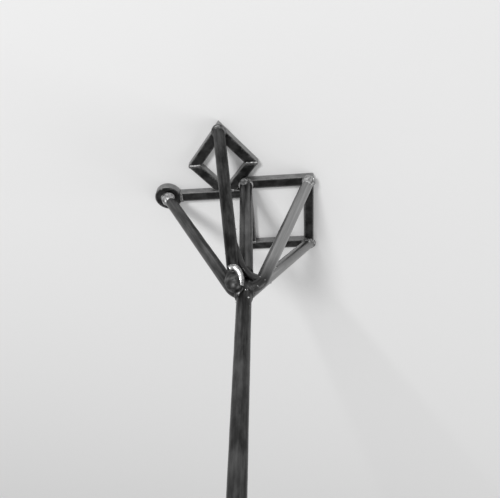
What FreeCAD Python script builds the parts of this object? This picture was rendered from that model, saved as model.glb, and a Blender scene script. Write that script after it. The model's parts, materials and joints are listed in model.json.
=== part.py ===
import FreeCAD, Part
import math
import os
import Sketcher

# A hand-made branding iron: a long round shaft, five round struts that fan out from its lower end,
# and a flat figure of steel bars that the struts carry. Millimetres, +Z up along the shaft.
# The branding face lies in the plane z = 0, and the shaft's axis is the Z axis.

doc = FreeCAD.newDocument("BrandingIron")

# Driving dimensions, one row each: name, value, meaning.
DRIVING_SIZES = [
    ("overall_length", 914.0, "branding face to the top of the hanging ring"),
    ("shaft_diameter", 12.7, "round bar of the shaft"),
    ("shaft_foot_height", 130.0, "lower end of the shaft above the branding face"),
    ("ring_diameter", 54.0, "hanging ring, across its centreline"),
    ("ring_rod_diameter", 9.5, "round bar of the hanging ring"),
    ("strut_diameter", 11.5, "round bar of the four bent struts"),
    ("bar_width", 10.6, "width of the figure's bars"),
    ("bar_thickness", 7.9, "depth of the figure's bars"),
    ("figure_turn", 4.5, "turn of the figure about the shaft, in degrees"),
    ("junction_x", -1.9, "junction of rail and box, across from the shaft"),
    ("junction_y", 9.8, "junction of rail and box, above the shaft"),
    ("box_width", 65.0, "box, between the centrelines of its sides"),
    ("box_height", 84.0, "box, between the centrelines of top and bottom"),
    ("rail_length", 84.0, "junction to the middle of the end boss"),
    ("rail_drop", 11.5, "rail centreline below the box's top centreline"),
    ("boss_diameter", 28.0, "round end boss of the rail"),
    ("diamond_seat", 21.0, "diamond's axis from the junction"),
    ("diamond_height", 74.0, "diamond, between its upper and lower corners"),
    ("diamond_width", 58.0, "diamond, between its side corners"),
    ("left_foot_height", 24.0, "left strut's foot, above the shaft's lower end"),
    ("top_foot_height", 13.0, "top strut's foot, above the shaft's lower end"),
    ("right_foot_height", 17.0, "right strut's foot, above the shaft's lower end"),
    ("lower_foot_height", 25.0, "lower strut's foot, above the shaft's lower end"),
    ("left_aim_height", 37.6, "where the left strut's straight run aims, above the shaft's lower end"),
    ("top_aim_height", 38.5, "where the top strut's straight run aims, above the shaft's lower end"),
    ("right_aim_height", 52.0, "where the right strut's straight run aims, above the shaft's lower end"),
    ("lower_aim_height", 29.0, "where the lower strut's straight run aims, above the shaft's lower end"),
    ("left_side_step", 0.0, "left strut's sideways offset from the shaft's axis"),
    ("top_side_step", 5.2, "top strut's sideways offset from the shaft's axis"),
    ("right_side_step", -1.8, "right strut's sideways offset from the shaft's axis"),
    ("lower_side_step", -1.5, "lower strut's sideways offset from the shaft's axis"),
    ("strut_bend_radius", 14.0, "bend of a strut's foot, at its centreline"),
    ("centre_foot_step", 1.0, "centre strut's foot, across from the shaft's axis"),
    ("tie_diameter", 6.4, "round bar of the short tie between two struts"),
    ("tie_bend_radius", 14.0, "bend of the tie, at its centreline"),
    ("tie_top_height", -25.0, "where the tie leaves the top strut, above the shaft's lower end"),
    ("tie_right_height", 11.0, "where the tie meets the right strut, above the shaft's lower end"),
    ("tie_corner_height", 11.5, "the tie's bend, above the shaft's lower end"),
    ("tie_clearance", 1.0, "gap between the tie's bend and the shaft"),
    ("tip_bead_diameter", 4.6, "weld bead round a strut's tip"),
    ("foot_bead_diameter", 4.2, "weld bead round a strut's foot"),
    ("foot_lump_x", -8.5, "lump of weld over the top strut's foot, across from the shaft's axis"),
    ("foot_lump_y", 8.5, "the lump of weld, up the figure from the shaft's axis"),
    ("foot_lump_height", 18.0, "the lump of weld, above the shaft's lower end"),
    ("foot_lump_width", 16.4, "the lump of weld, across"),
    ("foot_lump_length", 24.0, "the lump of weld, along the shaft"),
    ("ring_bead_diameter", 4.4, "weld bead between shaft and ring"),
    ("joint_bead_height", 1.4, "weld bead over a joint of the figure, above the bars"),
    ("joint_bead_width", 5.2, "weld bead over a joint of the figure, across the joint"),
    ("joint_bead_margin", 1.0, "end of such a bead short of the end of its joint"),
]

sizes = doc.addObject("Spreadsheet::Sheet", "Sizes")
for row, (alias, value, meaning) in enumerate(DRIVING_SIZES, start=1):
    sizes.set(f"A{row}", meaning)
    sizes.set(f"B{row}", str(value))
    sizes.setAlias(f"B{row}", alias)
doc.recompute()

# Sizes that follow from the driving ones, as formulas in a sheet of their own.
layout = doc.addObject("Spreadsheet::Sheet", "Layout")
layout_rows = []


def derive(alias, formula):
    """Adds a formula to the layout sheet under a name."""
    layout_rows.append(alias)
    cell = f"B{len(layout_rows)}"
    layout.set(f"A{len(layout_rows)}", alias.replace("_", " "))
    layout.set(cell, "=" + formula)
    layout.setAlias(cell, alias)
    doc.recompute()


def read(expression):
    """The value that an expression over the two sheets has now."""
    value = sizes.evalExpression(expression)
    return float(getattr(value, "Value", value))


derive("half_bar", "Sizes.bar_width / 2")
derive("strut_radius", "Sizes.strut_diameter / 2")
derive("shaft_radius", "Sizes.shaft_diameter / 2")
derive("turn_cos", "cos(Sizes.figure_turn)")
derive("turn_sin", "sin(Sizes.figure_turn)")

# The figure is laid out in its own axes, u across and v up, with the junction at their origin.
FIGURE_POINTS = {
    "left": ("-Sizes.rail_length", "-Sizes.rail_drop"),
    "top": ("-Sizes.diamond_seat", "Sizes.diamond_height - Sizes.rail_drop"),
    "centre": ("0", "0"),
    "right": ("Sizes.box_width", "0"),
    "lower": ("Sizes.box_width", "-Sizes.box_height"),
}


def figure_x(u, v):
    """Row x of a point of the figure's own axes."""
    return f"Sizes.junction_x + ({u}) * Layout.turn_cos - ({v}) * Layout.turn_sin"


def figure_y(u, v):
    """Row y of a point of the figure's own axes."""
    return f"Sizes.junction_y + ({u}) * Layout.turn_sin + ({v}) * Layout.turn_cos"


for tip, (tip_u, tip_v) in FIGURE_POINTS.items():
    derive(f"{tip}_tip_x", figure_x(tip_u, tip_v))
    derive(f"{tip}_tip_y", figure_y(tip_u, tip_v))

# Each bent strut lies in an upright plane that passes the shaft's axis at its side step. In that plane
# the strut runs straight from its tip towards its aim height and turns level at its foot height.
BENT_STRUTS = ["left", "top", "right", "lower"]
for name in BENT_STRUTS:
    tip_x = f"Layout.{name}_tip_x"
    tip_y = f"Layout.{name}_tip_y"
    foot = f"Layout.{name}_foot_level"
    aim = f"Layout.{name}_aim_level"
    derive(f"{name}_foot_level", f"Sizes.shaft_foot_height + Sizes.{name}_foot_height")
    derive(f"{name}_aim_level", f"Sizes.shaft_foot_height + Sizes.{name}_aim_height")
    step = f"Sizes.{name}_side_step"
    derive(f"{name}_reach", f"sqrt({tip_x}^2 + {tip_y}^2 - {step}^2)")
    derive(f"{name}_heading", f"atan2({tip_y}; {tip_x}) - asin({step} / sqrt({tip_x}^2 + {tip_y}^2))")
    derive(f"{name}_corner", f"Layout.{name}_reach * ({aim} - {foot}) / ({aim} - Sizes.bar_thickness)")
    rise = f"({foot} - Sizes.bar_thickness)"
    derive(f"{name}_slope", f"atan2({rise}; Layout.{name}_reach - Layout.{name}_corner)")
    derive(f"{name}_bend_run", f"Sizes.strut_bend_radius * tan(Layout.{name}_slope / 2)")
    derive(f"{name}_level", f"Layout.{name}_corner - Layout.{name}_bend_run")
    bend_share = f"(Layout.shaft_radius - Layout.{name}_level) / Sizes.strut_bend_radius"
    derive(f"{name}_foot_lean", f"min(Layout.{name}_slope; asin(max(0; min(1; {bend_share}))))")

parts = []


def keep(part, name):
    """Names a finished sub-part after its file."""
    part.Label = name
    parts.append(part)
    return part


def origin_plane(body, role):
    """The body's own origin plane of that role."""
    return next(f for f in body.Origin.OriginFeatures if f.Role == role)


def new_body(name):
    """A body that will hold one sub-part."""
    return keep(doc.addObject("PartDesign::Body", name + "_body"), name)


def sketch_on(body, role, name, offset=None):
    """A sketch on one of the body's origin planes, shifted along its normal if asked."""
    sketch = body.newObject("Sketcher::SketchObject", name)
    sketch.AttachmentSupport = [(origin_plane(body, role), "")]
    sketch.MapMode = "FlatFace"
    if offset:
        sketch.setExpression("AttachmentOffset.Base.z", offset)
    return sketch


def pin_point(sketch, geometry, end, x, y):
    """Ties a point of a sketch to the sketch's origin with two bound distances."""
    across = sketch.addConstraint(Sketcher.Constraint("DistanceX", -1, 1, geometry, end, read(x)))
    sketch.setExpression(f"Constraints[{across}]", x)
    up = sketch.addConstraint(Sketcher.Constraint("DistanceY", -1, 1, geometry, end, read(y)))
    sketch.setExpression(f"Constraints[{up}]", y)


def draw_polygon(sketch, corners):
    """A closed outline through corners, each a pair of expressions."""
    points = [FreeCAD.Vector(read(x), read(y), 0) for x, y in corners]
    count = len(points)
    lines = []
    for i, point in enumerate(points):
        lines.append(sketch.addGeometry(Part.LineSegment(point, points[(i + 1) % count]), False))
    for i in range(count):
        sketch.addConstraint(Sketcher.Constraint("Coincident", lines[i], 2, lines[(i + 1) % count], 1))
    for i, (x, y) in enumerate(corners):
        pin_point(sketch, lines[i], 1, x, y)


def draw_circle(sketch, x, y, radius):
    """A circle with its centre and radius bound."""
    centre = FreeCAD.Vector(read(x), read(y), 0)
    circle = sketch.addGeometry(Part.Circle(centre, FreeCAD.Vector(0, 0, 1), read(radius)), False)
    pin_point(sketch, circle, 3, x, y)
    size = sketch.addConstraint(Sketcher.Constraint("Radius", circle, read(radius)))
    sketch.setExpression(f"Constraints[{size}]", radius)


def pad(body, sketch, length, name):
    """Pads a sketch upwards."""
    feature = body.newObject("PartDesign::Pad", name)
    feature.Profile = sketch
    feature.setExpression("Length", length)
    return feature


def pocket_all(body, sketch, name, upwards):
    """Cuts a sketch right through to one side, and makes sure that it removes metal."""
    doc.recompute()
    before = body.Shape.Volume
    feature = body.newObject("PartDesign::Pocket", name)
    feature.Profile = sketch
    feature.Type = "ThroughAll"
    feature.Reversed = upwards
    doc.recompute()
    if not body.Shape.Volume < before:
        raise RuntimeError(f"{body.Label}: {name} removed nothing")
    return feature


def place(part, x, y, z="0", turn=None):
    """Binds a sub-part's place, and its turn about the upright axis."""
    part.setExpression("Placement.Base.x", x)
    part.setExpression("Placement.Base.y", y)
    part.setExpression("Placement.Base.z", z)
    if turn:
        part.Placement = FreeCAD.Placement(FreeCAD.Vector(), FreeCAD.Rotation(FreeCAD.Vector(0, 0, 1), 1))
        part.setExpression("Placement.Rotation.Angle", turn)


# Shaft: a round rod, with its upper end fitted to the ring's rod like a saddle.
derive("ring_centre_height", "Sizes.overall_length - (Sizes.ring_diameter + Sizes.ring_rod_diameter) / 2")
derive("ring_bottom_height", "Layout.ring_centre_height - Sizes.ring_diameter / 2")

shaft = new_body("shaft")
shaft_outline = sketch_on(shaft, "XY_Plane", "shaft_outline", "Sizes.shaft_foot_height")
draw_circle(shaft_outline, "0", "0", "Layout.shaft_radius")
pad(shaft, shaft_outline, "Layout.ring_bottom_height - Sizes.shaft_foot_height", "shaft_rod")
doc.recompute()
blunt_volume = shaft.Shape.Volume
saddle_outline = sketch_on(shaft, "XZ_Plane", "saddle_outline")
draw_circle(saddle_outline, "0", "Layout.ring_bottom_height", "Sizes.ring_rod_diameter / 2")
saddle_axis = saddle_outline.addGeometry(
    Part.LineSegment(
        FreeCAD.Vector(0, read("Layout.ring_centre_height"), 0),
        FreeCAD.Vector(read("Layout.shaft_radius"), read("Layout.ring_centre_height"), 0),
    ),
    True,
)
pin_point(saddle_outline, saddle_axis, 1, "0", "Layout.ring_centre_height")
pin_point(saddle_outline, saddle_axis, 2, "Layout.shaft_radius", "Layout.ring_centre_height")
saddle = shaft.newObject("PartDesign::Groove", "saddle")
saddle.Profile = saddle_outline
saddle.ReferenceAxis = (saddle_outline, ["Axis0"])
saddle.Angle = 360
doc.recompute()
if not shaft.Shape.Volume < blunt_volume:
    raise RuntimeError("the shaft's saddle removed nothing")

# Hanging ring: a closed ring of round rod, upright in the YZ plane.
ring = keep(doc.addObject("Part::Torus", "ring_rod"), "hanging_ring")
ring.setExpression("Radius1", "Sizes.ring_diameter / 2")
ring.setExpression("Radius2", "Sizes.ring_rod_diameter / 2")
ring.Placement = FreeCAD.Placement(FreeCAD.Vector(), FreeCAD.Rotation(FreeCAD.Vector(0, 1, 0), 90))
ring.setExpression("Placement.Base.z", "Layout.ring_centre_height")

# Bent struts: each is drawn in its own upright plane, with x outwards from the shaft and z up,
# then cut flat where it stands on the figure and hollowed where it meets the shaft.
PAST_ROD = "3 * Sizes.strut_diameter"  # a cut's outline reaches this far past the rod's end
strut_rods = {}
for name in BENT_STRUTS:
    strut = doc.addObject("PartDesign::Body", f"{name}_rod_body")
    strut_rods[name] = strut
    foot = f"Layout.{name}_foot_level"
    corner = f"Layout.{name}_corner"
    slope = f"Layout.{name}_slope"
    bend_run = f"Layout.{name}_bend_run"
    step = f"Sizes.{name}_side_step"
    level_x = f"Layout.{name}_level"
    start_x = f"{level_x} - Sizes.shaft_diameter - Sizes.strut_diameter"
    slope_x = f"{corner} + {bend_run} * cos({slope})"
    slope_z = f"{foot} - {bend_run} * sin({slope})"
    end_x = f"Layout.{name}_reach + Sizes.strut_diameter * cos({slope})"
    end_z = f"Sizes.bar_thickness - Sizes.strut_diameter * sin({slope})"

    route = sketch_on(strut, "XZ_Plane", f"{name}_route")
    level = route.addGeometry(
        Part.LineSegment(
            FreeCAD.Vector(read(start_x), read(foot), 0),
            FreeCAD.Vector(read(level_x), read(foot), 0),
        ),
        False,
    )
    bend_centre = FreeCAD.Vector(read(level_x), read(f"{foot} - Sizes.strut_bend_radius"), 0)
    bend = route.addGeometry(
        Part.ArcOfCircle(
            Part.Circle(bend_centre, FreeCAD.Vector(0, 0, 1), read("Sizes.strut_bend_radius")),
            math.radians(90 - read(slope)),
            math.radians(90),
        ),
        False,
    )
    straight = route.addGeometry(
        Part.LineSegment(
            FreeCAD.Vector(read(slope_x), read(slope_z), 0),
            FreeCAD.Vector(read(end_x), read(end_z), 0),
        ),
        False,
    )
    route.addConstraint(Sketcher.Constraint("Coincident", level, 2, bend, 2))
    route.addConstraint(Sketcher.Constraint("Coincident", bend, 1, straight, 1))
    pin_point(route, level, 1, start_x, foot)
    pin_point(route, bend, 2, level_x, foot)
    pin_point(route, bend, 1, slope_x, slope_z)
    pin_point(route, straight, 2, end_x, end_z)
    bend_size = route.addConstraint(Sketcher.Constraint("Radius", bend, read("Sizes.strut_bend_radius")))
    route.setExpression(f"Constraints[{bend_size}]", "Sizes.strut_bend_radius")

    section = sketch_on(strut, "YZ_Plane", f"{name}_section", start_x)
    draw_circle(section, "0", foot, "Layout.strut_radius")
    rod = strut.newObject("PartDesign::AdditivePipe", f"{name}_rod")
    rod.Profile = section
    rod.Spine = route
    doc.recompute()

    seat = sketch_on(strut, "XY_Plane", f"{name}_seat", "Sizes.bar_thickness")
    seat_near = f"Layout.{name}_reach - {PAST_ROD}"
    seat_far = f"Layout.{name}_reach + {PAST_ROD}"
    seat_corners = [
        (seat_near, "-Sizes.strut_diameter"),
        (seat_far, "-Sizes.strut_diameter"),
        (seat_far, "Sizes.strut_diameter"),
        (seat_near, "Sizes.strut_diameter"),
    ]
    draw_polygon(seat, seat_corners)
    pocket_all(strut, seat, f"{name}_seat_cut", False)

    hollow = sketch_on(strut, "XY_Plane", f"{name}_hollow")
    draw_circle(hollow, "0", f"-{step}", "Layout.shaft_radius")
    pocket_all(strut, hollow, f"{name}_hollow_cut", True)

    beyond = sketch_on(strut, "XY_Plane", f"{name}_beyond")
    beyond_far = f"{start_x} - Sizes.strut_diameter"
    beyond_side = "Sizes.strut_diameter + Sizes.shaft_diameter"
    beyond_corners = [
        (beyond_far, f"-({beyond_side})"),
        ("0", f"-({beyond_side})"),
        ("0", beyond_side),
        (beyond_far, beyond_side),
    ]
    draw_polygon(beyond, beyond_corners)
    pocket_all(strut, beyond, f"{name}_beyond_cut", True)

    heading = f"Layout.{name}_heading"
    place(strut, f"-{step} * sin({heading})", f"{step} * cos({heading})", "0", heading)

# Centre strut: a straight rod of the shaft's bar, from the junction to the shaft's lower end. It is drawn
# leaning in its own upright plane and cut level at both ends.
centre_strut = new_body("centre_strut")
strut_parts = {"centre": centre_strut}
centre_run_x = "(Sizes.centre_foot_step - Layout.centre_tip_x)"
derive("centre_run", f"sqrt({centre_run_x}^2 + Layout.centre_tip_y^2)")
derive("centre_heading", f"atan2(-Layout.centre_tip_y; {centre_run_x})")
derive("centre_lean", "atan2(Layout.centre_run; Sizes.shaft_foot_height - Sizes.bar_thickness)")
over_x = "Sizes.strut_diameter * sin(Layout.centre_lean)"
over_z = "Sizes.strut_diameter * cos(Layout.centre_lean)"
half_x = "Layout.shaft_radius * cos(Layout.centre_lean)"
half_z = "Layout.shaft_radius * sin(Layout.centre_lean)"
low_end = (f"-{over_x}", f"Sizes.bar_thickness - {over_z}")
high_end = (f"Layout.centre_run + {over_x}", f"Sizes.shaft_foot_height + {over_z}")
centre_outline = sketch_on(centre_strut, "XZ_Plane", "centre_outline")
draw_polygon(
    centre_outline,
    [
        low_end,
        (f"{low_end[0]} + {half_x}", f"{low_end[1]} - {half_z}"),
        (f"{high_end[0]} + {half_x}", f"{high_end[1]} - {half_z}"),
        high_end,
    ],
)
centre_axis = centre_outline.addGeometry(
    Part.LineSegment(
        FreeCAD.Vector(read(low_end[0]), read(low_end[1]), 0),
        FreeCAD.Vector(read(high_end[0]), read(high_end[1]), 0),
    ),
    True,
)
pin_point(centre_outline, centre_axis, 1, *low_end)
pin_point(centre_outline, centre_axis, 2, *high_end)
centre_rod = centre_strut.newObject("PartDesign::Revolution", "centre_rod")
centre_rod.Profile = centre_outline
centre_rod.ReferenceAxis = (centre_outline, ["Axis0"])
centre_rod.Angle = 360
reach_back = f"-{PAST_ROD}"
reach_on = f"Layout.centre_run + {PAST_ROD}"
for cut_name, cut_height, upwards in (
    ("centre_seat_cut", "Sizes.bar_thickness", False),
    ("centre_foot_cut", "Sizes.shaft_foot_height", True),
):
    level_cut = sketch_on(centre_strut, "XY_Plane", f"{cut_name}_outline", cut_height)
    level_corners = [
        (reach_back, "-Sizes.strut_diameter"),
        (reach_on, "-Sizes.strut_diameter"),
        (reach_on, "Sizes.strut_diameter"),
        (reach_back, "Sizes.strut_diameter"),
    ]
    draw_polygon(level_cut, level_corners)
    pocket_all(centre_strut, level_cut, cut_name, upwards)
place(centre_strut, "Layout.centre_tip_x", "Layout.centre_tip_y", "0", "Layout.centre_heading")

# Each strut is ground to fit beside the ones that were welded on before it.
WELDED_BEFORE = {
    "top": ["centre"],
    "right": ["centre", "top"],
    "left": ["centre", "top"],
    "lower": ["centre", "right", "left"],
}
for name, earlier in WELDED_BEFORE.items():
    rod_end = strut_rods[name]
    for other in earlier:
        ground = doc.addObject("Part::Cut", f"{name}_ground_beside_{other}")
        ground.Base = rod_end
        ground.Tool = strut_parts[other]
        rod_end = ground
    strut_parts[name] = keep(rod_end, f"{name}_strut")
doc.recompute()


def strut_axis_point(name, height):
    """The point of a bent strut's straight axis at a height."""
    step = f"Sizes.{name}_side_step"
    heading = f"Layout.{name}_heading"
    corner = f"Layout.{name}_corner"
    along = f"({corner} + (Layout.{name}_foot_level - {height}) / tan(Layout.{name}_slope))"
    x = read(f"{along} * cos({heading}) - {step} * sin({heading})")
    y = read(f"{along} * sin({heading}) + {step} * cos({heading})")
    return FreeCAD.Vector(x, y, read(height))


# Tie: a short rod bent once, from the top strut's side past the shaft's lower end to the right strut.
# Its plane depends on where two struts lie, so its centreline is worked out point by point.
derive("tie_start_level", "Sizes.shaft_foot_height + Sizes.tie_top_height")
derive("tie_end_level", "Sizes.shaft_foot_height + Sizes.tie_right_height")
derive("tie_corner_level", "Sizes.shaft_foot_height + Sizes.tie_corner_height")
tie_start = strut_axis_point("top", "Layout.tie_start_level")
tie_end = strut_axis_point("right", "Layout.tie_end_level")
tie_gap = read("Layout.shaft_radius + Sizes.tie_diameter / 2 + Sizes.tie_clearance")
tie_corner = FreeCAD.Vector(0, tie_gap, read("Layout.tie_corner_level"))
to_start = (tie_start - tie_corner).normalize()
to_end = (tie_end - tie_corner).normalize()
half_bend = to_start.getAngle(to_end) / 2
bend_radius = read("Sizes.tie_bend_radius")
bend_start = tie_corner + to_start * (bend_radius / math.tan(half_bend))
bend_end = tie_corner + to_end * (bend_radius / math.tan(half_bend))
bend_axis = (to_start + to_end).normalize()
bend_middle = tie_corner + bend_axis * (bend_radius / math.sin(half_bend) - bend_radius)
tie_route = Part.Wire(
    [
        Part.LineSegment(tie_start, bend_start).toShape(),
        Part.Arc(bend_start, bend_middle, bend_end).toShape(),
        Part.LineSegment(bend_end, tie_end).toShape(),
    ]
)
tie_section = Part.Wire(Part.makeCircle(read("Sizes.tie_diameter / 2"), tie_start, -to_start))
tie_rod = tie_route.makePipeShell([tie_section], True, True)
for neighbour in (strut_parts["top"], strut_parts["right"], strut_parts["centre"], shaft):
    tie_rod = tie_rod.cut(neighbour.Shape)
tie = keep(doc.addObject("Part::Feature", "tie_rod"), "tie_rod")
tie.Shape = tie_rod


def bar_body(name, corners):
    """A flat bar of the figure, drawn in the figure's own axes."""
    body = new_body(name)
    outline = sketch_on(body, "XY_Plane", name + "_outline")
    draw_polygon(outline, corners)
    pad(body, outline, "Sizes.bar_thickness", name + "_plate")
    place(body, "Sizes.junction_x", "Sizes.junction_y", "0", "Sizes.figure_turn")
    return body


def rectangle(left, bottom, right, top):
    """Corners of an upright rectangle."""
    return [(left, bottom), (right, bottom), (right, top), (left, top)]


HALF = "Layout.half_bar"
BOX_RIGHT = "Sizes.box_width"
BOX_BOTTOM = "-Sizes.box_height"

# Box: top and bottom bars run right across, and the side bars stand between them.
bar_body("box_top_bar", rectangle(f"-{HALF}", f"-{HALF}", f"{BOX_RIGHT} + {HALF}", HALF))
bar_body(
    "box_bottom_bar",
    rectangle(f"-{HALF}", f"{BOX_BOTTOM} - {HALF}", f"{BOX_RIGHT} + {HALF}", f"{BOX_BOTTOM} + {HALF}"),
)
bar_body("box_left_bar", rectangle(f"-{HALF}", f"{BOX_BOTTOM} + {HALF}", HALF, f"-{HALF}"))
bar_body(
    "box_right_bar",
    rectangle(f"{BOX_RIGHT} - {HALF}", f"{BOX_BOTTOM} + {HALF}", f"{BOX_RIGHT} + {HALF}", f"-{HALF}"),
)

# End boss: a plain round plate at the rail's far end.
boss = new_body("end_boss")
boss_outline = sketch_on(boss, "XY_Plane", "boss_outline")
draw_circle(boss_outline, "0", "0", "Sizes.boss_diameter / 2")
pad(boss, boss_outline, "Sizes.bar_thickness", "boss_plate")
place(boss, "Layout.left_tip_x", "Layout.left_tip_y", "0", "Sizes.figure_turn")

# Rail: from the box's left side to the boss, hollowed to fit round the boss.
rail = bar_body(
    "rail_bar",
    rectangle("-Sizes.rail_length", f"-Sizes.rail_drop - {HALF}", f"-{HALF}", f"-Sizes.rail_drop + {HALF}"),
)
rail_end = sketch_on(rail, "XY_Plane", "rail_end")
draw_circle(rail_end, "-Sizes.rail_length", "-Sizes.rail_drop", "Sizes.boss_diameter / 2")
pocket_all(rail, rail_end, "rail_end_cut", True)

# Diamond: two bars, each bent to a V, that meet at the side corners. The lower one stands on the rail
# and is notched where it meets the box.
derive("diamond_half_width", "Sizes.diamond_width / 2")
derive("diamond_half_height", "Sizes.diamond_height / 2")
derive("diamond_side", "sqrt(Layout.diamond_half_width^2 + Layout.diamond_half_height^2)")
derive("side_cover", "Layout.half_bar * Layout.diamond_side / Layout.diamond_half_height")
derive("tip_cover", "Layout.half_bar * Layout.diamond_side / Layout.diamond_half_width")
derive("diamond_middle", "Layout.diamond_half_height - Sizes.rail_drop")
derive("rail_top", "Layout.half_bar - Sizes.rail_drop")
derive("lower_bar_reach", "Layout.diamond_half_height + Layout.tip_cover")
derive("cut_share", "(Layout.diamond_middle - Layout.rail_top) / Layout.lower_bar_reach")
derive("cut_half_width", "(Layout.diamond_half_width + Layout.side_cover) * (1 - Layout.cut_share)")

SEAT = "-Sizes.diamond_seat"
OUTER = "(Layout.diamond_half_width + Layout.side_cover)"
INNER = "(Layout.diamond_half_width - Layout.side_cover)"
MIDDLE = "Layout.diamond_middle"
bar_body(
    "diamond_upper_bar",
    [
        (f"{SEAT} - {OUTER}", MIDDLE),
        (f"{SEAT} - {INNER}", MIDDLE),
        (SEAT, f"{MIDDLE} + Layout.diamond_half_height - Layout.tip_cover"),
        (f"{SEAT} + {INNER}", MIDDLE),
        (f"{SEAT} + {OUTER}", MIDDLE),
        (SEAT, f"{MIDDLE} + Layout.diamond_half_height + Layout.tip_cover"),
    ],
)
diamond_lower = bar_body(
    "diamond_lower_bar",
    [
        (f"{SEAT} - {OUTER}", MIDDLE),
        (f"{SEAT} - Layout.cut_half_width", "Layout.rail_top"),
        (f"{SEAT} + Layout.cut_half_width", "Layout.rail_top"),
        (f"{SEAT} + {OUTER}", MIDDLE),
        (f"{SEAT} + {INNER}", MIDDLE),
        (SEAT, f"{MIDDLE} - Layout.diamond_half_height + Layout.tip_cover"),
        (f"{SEAT} - {INNER}", MIDDLE),
    ],
)
notch = sketch_on(diamond_lower, "XY_Plane", "notch")
draw_polygon(notch, rectangle(f"-{HALF}", "-Sizes.rail_drop - Sizes.bar_width", "Sizes.box_width", HALF))
pocket_all(diamond_lower, notch, "notch_cut", True)

# Weld beads round the strut tips: half rings that lie on the figure's back, fitted to the struts.
for name, strut in strut_parts.items():
    bead = doc.addObject("Part::Torus", f"{name}_tip_ring")
    bead.setExpression("Radius1", "Layout.shaft_radius" if name == "centre" else "Layout.strut_radius")
    bead.setExpression("Radius2", "Sizes.tip_bead_diameter / 2")
    bead.Angle1 = -180
    bead.Angle2 = 0
    place(bead, f"Layout.{name}_tip_x", f"Layout.{name}_tip_y", "Sizes.bar_thickness")
    weld = keep(doc.addObject("Part::Cut", f"{name}_tip_bead"), f"{name}_tip_weld")
    weld.Base = bead
    weld.Tool = strut

# Weld beads round the struts' feet: rings square to each foot, run together into one weld
# and fitted to the shaft, the struts and the tie.
foot_beads = []
for name in BENT_STRUTS:
    bead = doc.addObject("PartDesign::Body", f"{name}_foot_bead")
    ring_x = "Layout.shaft_radius"
    lean = f"Layout.{name}_foot_lean"
    ring_z = f"(Layout.{name}_foot_level - Sizes.strut_bend_radius * (1 - cos({lean})))"
    section = sketch_on(bead, "XZ_Plane", f"{name}_bead_section")
    draw_circle(
        section,
        f"{ring_x} + Layout.strut_radius * sin({lean})",
        f"{ring_z} + Layout.strut_radius * cos({lean})",
        "Sizes.foot_bead_diameter / 2",
    )
    axis_points = [
        (ring_x, ring_z),
        (f"{ring_x} + Layout.strut_radius * cos({lean})", f"{ring_z} - Layout.strut_radius * sin({lean})"),
    ]
    axis_ends = [FreeCAD.Vector(read(x), read(y), 0) for x, y in axis_points]
    axis = section.addGeometry(Part.LineSegment(*axis_ends), True)
    for end, (x, y) in enumerate(axis_points, start=1):
        pin_point(section, axis, end, x, y)
    turned = bead.newObject("PartDesign::Revolution", f"{name}_bead_ring")
    turned.Profile = section
    turned.ReferenceAxis = (section, ["Axis0"])
    turned.Angle = 360
    heading = f"Layout.{name}_heading"
    step = f"Sizes.{name}_side_step"
    place(bead, f"-{step} * sin({heading})", f"{step} * cos({heading})", "0", heading)
    foot_beads.append(bead)

centre_bead = doc.addObject("Part::Torus", "centre_foot_bead")
centre_bead.setExpression("Radius1", "Layout.shaft_radius")
centre_bead.setExpression("Radius2", "Sizes.foot_bead_diameter / 2")
place(centre_bead, "Sizes.centre_foot_step", "0", "Sizes.shaft_foot_height")
foot_beads.append(centre_bead)

foot_lump = doc.addObject("Part::Ellipsoid", "foot_lump")
foot_lump.setExpression("Radius1", "Sizes.foot_lump_length / 2")
foot_lump.setExpression("Radius2", "Sizes.foot_lump_width / 2")
foot_lump.setExpression("Radius3", "Sizes.foot_lump_width / 2")
place(foot_lump, "Sizes.foot_lump_x", "Sizes.foot_lump_y", "Sizes.shaft_foot_height + Sizes.foot_lump_height")
foot_beads.append(foot_lump)

foot_weld = doc.addObject("Part::MultiFuse", "foot_beads_together")
foot_weld.Shapes = foot_beads
for number, neighbour in enumerate([shaft, tie, *strut_parts.values()], start=1):
    fitted = doc.addObject("Part::Cut", f"foot_weld_fit_{number}")
    fitted.Base = foot_weld
    fitted.Tool = neighbour
    foot_weld = fitted
keep(foot_weld, "foot_weld")

# Weld bead between the shaft's upper end and the hanging ring.
ring_bead = doc.addObject("Part::Torus", "ring_bead")
ring_bead.setExpression("Radius1", "Layout.shaft_radius")
ring_bead.setExpression("Radius2", "Sizes.ring_bead_diameter / 2")
ring_bead.setExpression("Placement.Base.z", "Layout.ring_bottom_height - Sizes.ring_rod_diameter / 2")
ring_bead_on_shaft = doc.addObject("Part::Cut", "ring_bead_on_shaft")
ring_bead_on_shaft.Base = ring_bead
ring_bead_on_shaft.Tool = shaft
ring_weld = keep(doc.addObject("Part::Cut", "ring_weld_fit"), "ring_weld")
ring_weld.Base = ring_bead_on_shaft
ring_weld.Tool = ring


def joint_bead(name, u, v, half_across, half_up):
    """A low weld bead over a joint of the figure, lying on the back of its bars."""
    bead = doc.addObject("Part::Ellipsoid", name)
    bead.setExpression("Radius1", "Sizes.joint_bead_height")
    bead.setExpression("Radius2", half_across)
    bead.setExpression("Radius3", half_up)
    bead.Angle1 = 0
    place(bead, figure_x(u, v), figure_y(u, v), "Sizes.bar_thickness", "Sizes.figure_turn")
    return bead


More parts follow.
